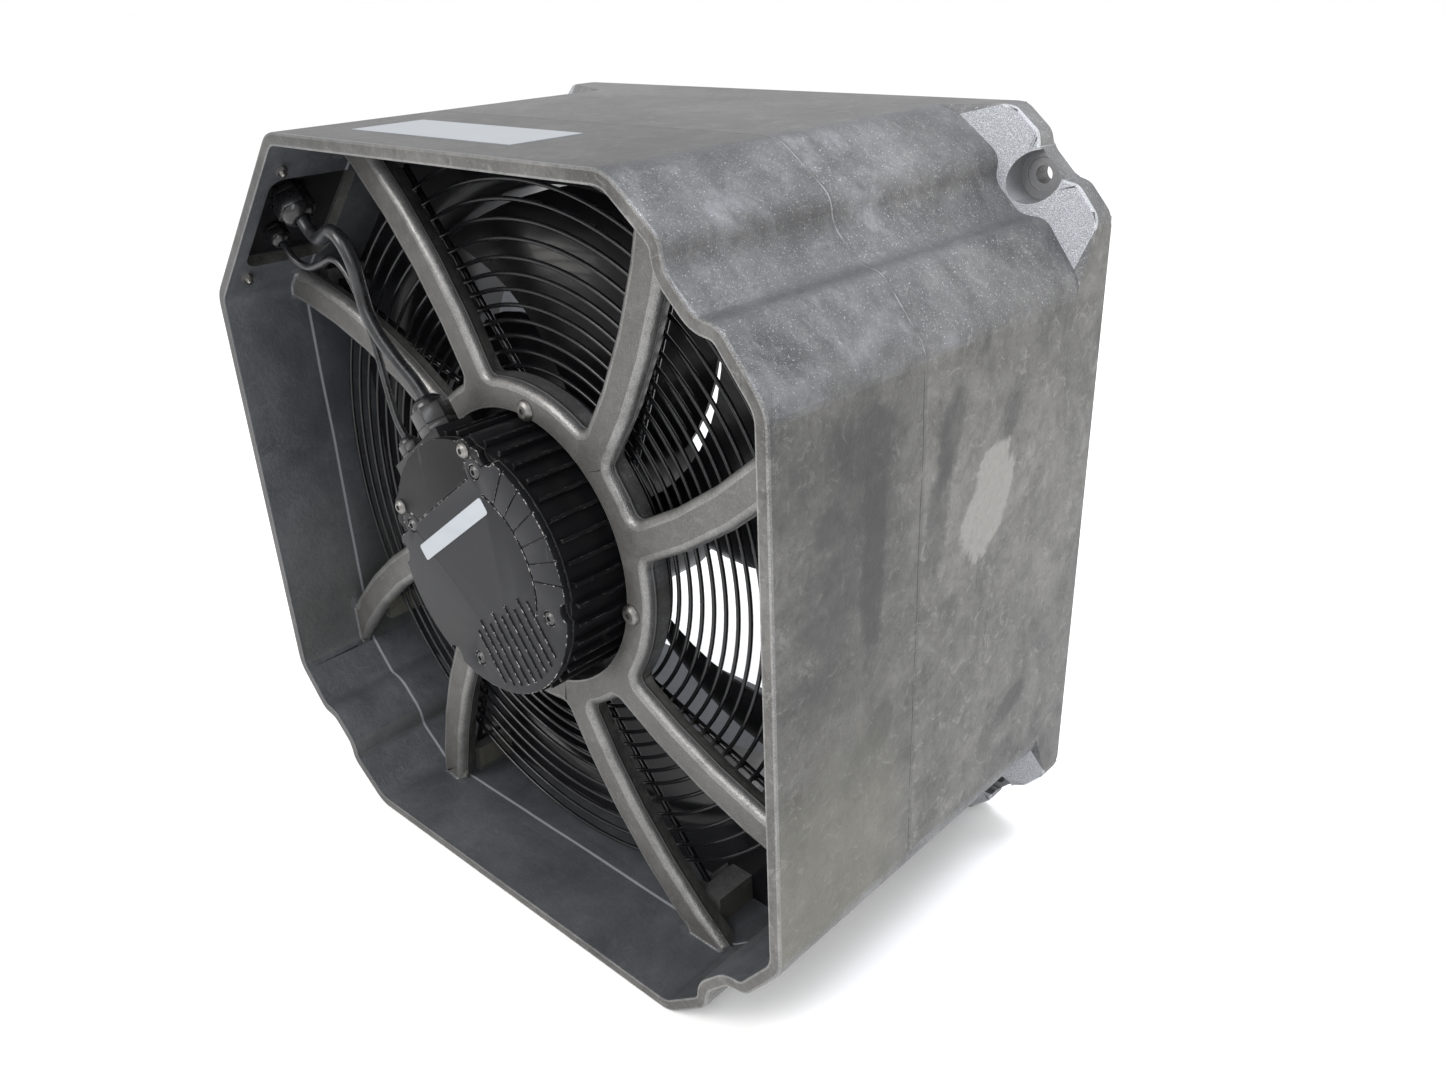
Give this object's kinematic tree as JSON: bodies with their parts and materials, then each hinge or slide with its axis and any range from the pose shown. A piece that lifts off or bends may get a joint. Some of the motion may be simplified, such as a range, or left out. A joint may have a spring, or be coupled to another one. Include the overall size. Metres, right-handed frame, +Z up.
{
  "type": "axial air mover",
  "caption": "Square cast housing with curved spokes carrying an external-rotor motor, wire finger guard, inlet nozzle and bladed impeller.",
  "frame": {"origin": "fan axis in the plane of the rear mounting face", "axes": "+Z up, open front with the motor faces -Y, +Y out of the rear, +X to the right seen from the front"},
  "size_m": [0.53, 0.32, 0.5304],
  "materials": {
    "cast_aluminium": "bare casting, blasted, stained",
    "wire_black": "gloss black coating",
    "steel_screws": "bright",
    "dark_screws": "blackened",
    "nozzle_black": "gloss black",
    "motor_black": "satin black",
    "cover_black": "satin black, worn edges",
    "seal_rubber": "matt",
    "board_green": "satin",
    "terminal_white": "satin",
    "lamination_steel": "satin",
    "copper_wire": "enamelled",
    "bearing_steel": "ground",
    "plate_black": "satin black",
    "gland_black": "satin",
    "cable_black": "satin",
    "label_silver": "brushed foil, blank",
    "magnet_dark": "matt",
    "impeller_black": "gloss black"
  },
  "bodies": {
    "frame": {"housing": "cast_aluminium", "finger_guard": "wire_black", "hub_screws": "steel_screws", "inlet_nozzle": "nozzle_black", "nozzle_screws": "steel_screws", "motor_housing": "motor_black", "motor_cover": "cover_black", "cover_gasket": "seal_rubber", "cover_screws": "dark_screws", "terminal_lid": "cover_black", "lid_gasket": "seal_rubber", "lid_screws": "steel_screws", "circuit_board": "board_green", "board_screws": "steel_screws", "terminal_block": "terminal_white", "stator_core": "lamination_steel", "stator_windings": "copper_wire", "bearing_outer_rings": "bearing_steel", "entry_plate": "plate_black", "entry_gasket": "seal_rubber", "entry_screws": "steel_screws", "entry_nuts": "steel_screws", "power_gland_bodies": "gland_black", "power_gland_nuts": "gland_black", "power_gland_seals": "seal_rubber", "power_gland_locknut": "gland_black", "signal_gland_bodies": "gland_black", "signal_gland_nuts": "gland_black", "signal_gland_seals": "seal_rubber", "signal_gland_locknut": "gland_black", "power_lead": "cable_black", "signal_lead": "cable_black", "motor_label": "label_silver", "rating_plate": "label_silver"},
    "rotor": {"shaft": "bearing_steel", "shaft_circlip": "lamination_steel", "rotor_bell": "lamination_steel", "magnet_ring": "magnet_dark", "bearing_inner_rings": "bearing_steel", "bearing_balls": "bearing_steel", "impeller": "impeller_black", "impeller_screws": "steel_screws"}
  },
  "joints": [
    {"name": "fan_spin", "type": "hinge", "parent": "frame", "child": "rotor", "pos_m": [0, 0, 0], "axis": [0, 1, 0], "continuous": true}
  ]
}
